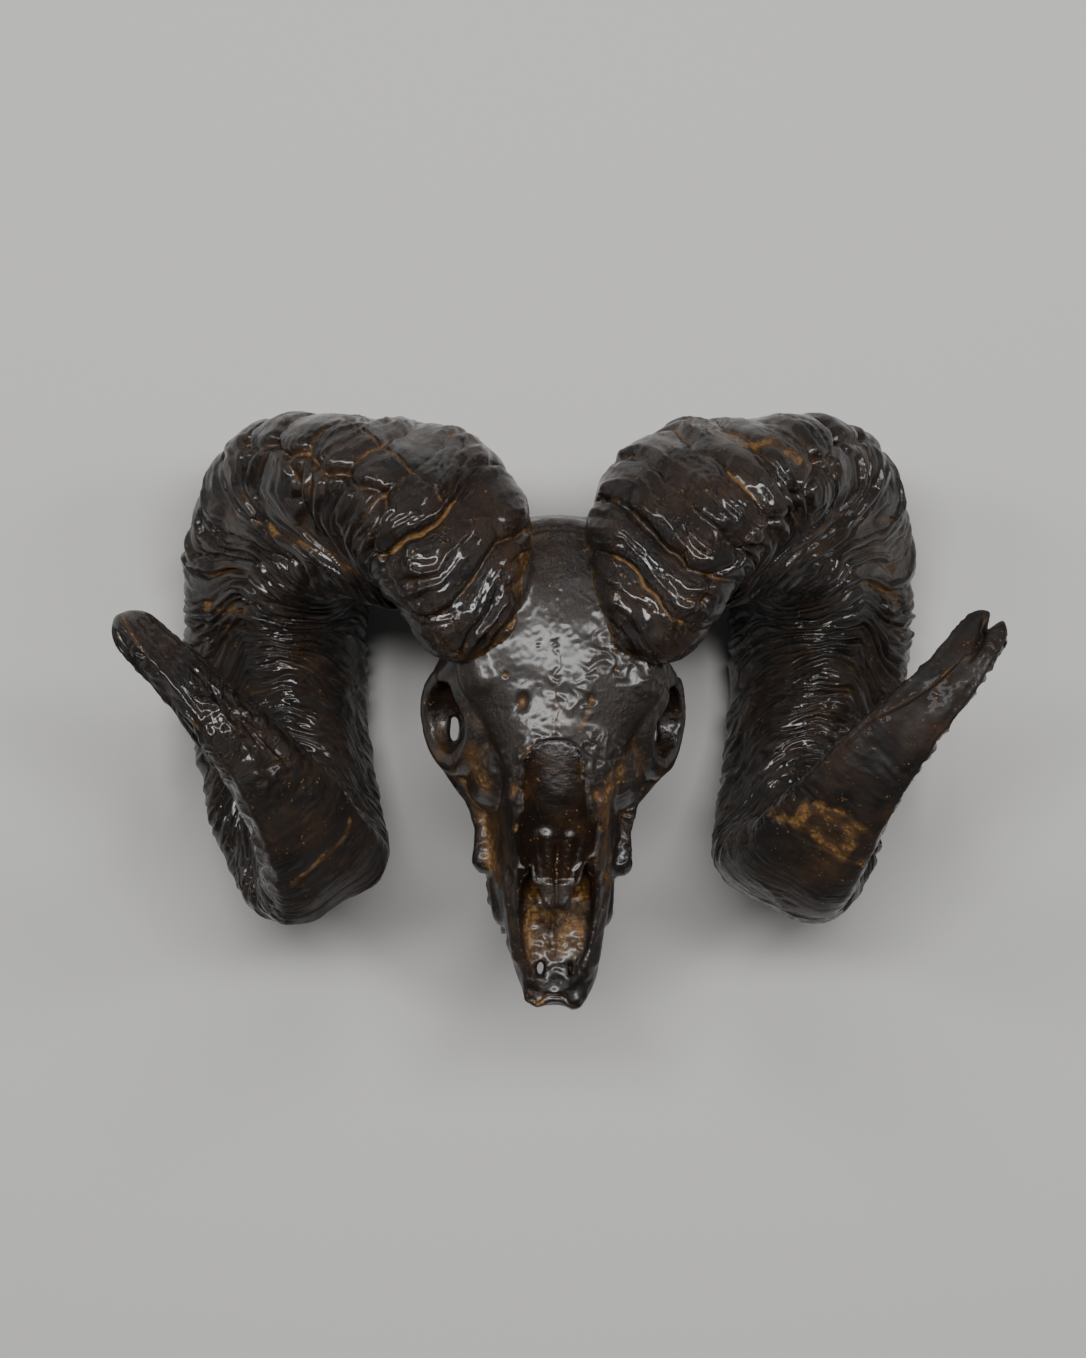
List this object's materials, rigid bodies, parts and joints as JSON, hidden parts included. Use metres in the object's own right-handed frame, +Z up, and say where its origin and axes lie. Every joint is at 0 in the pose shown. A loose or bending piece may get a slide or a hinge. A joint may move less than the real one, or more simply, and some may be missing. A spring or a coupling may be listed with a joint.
{
  "type": "bronze ram skull",
  "caption": "Life-size dark bronze cast of a ram's skull with a full curl of horn on each side, lying face up on the backs of the horns.",
  "frame": {"origin": "middle of the bounding box at the resting plane", "axes": "+X to the animal's left and across the horns, +Y from the muzzle toward the back of the head, +Z up out of the forehead"},
  "size_m": [0.4696, 0.3209, 0.2407],
  "materials": {
    "skull_bronze": "dark brown patina, polished, ochre in the recesses",
    "horn_bronze": "dark brown patina, polished, ochre in the growth grooves"
  },
  "bodies": {
    "root": {"skull": "skull_bronze", "horn_left_base": "horn_bronze", "horn_left_crown": "horn_bronze", "horn_left_curl": "horn_bronze", "horn_left_tip": "horn_bronze", "horn_right_base": "horn_bronze", "horn_right_crown": "horn_bronze", "horn_right_curl": "horn_bronze", "horn_right_tip": "horn_bronze"}
  },
  "joints": []
}
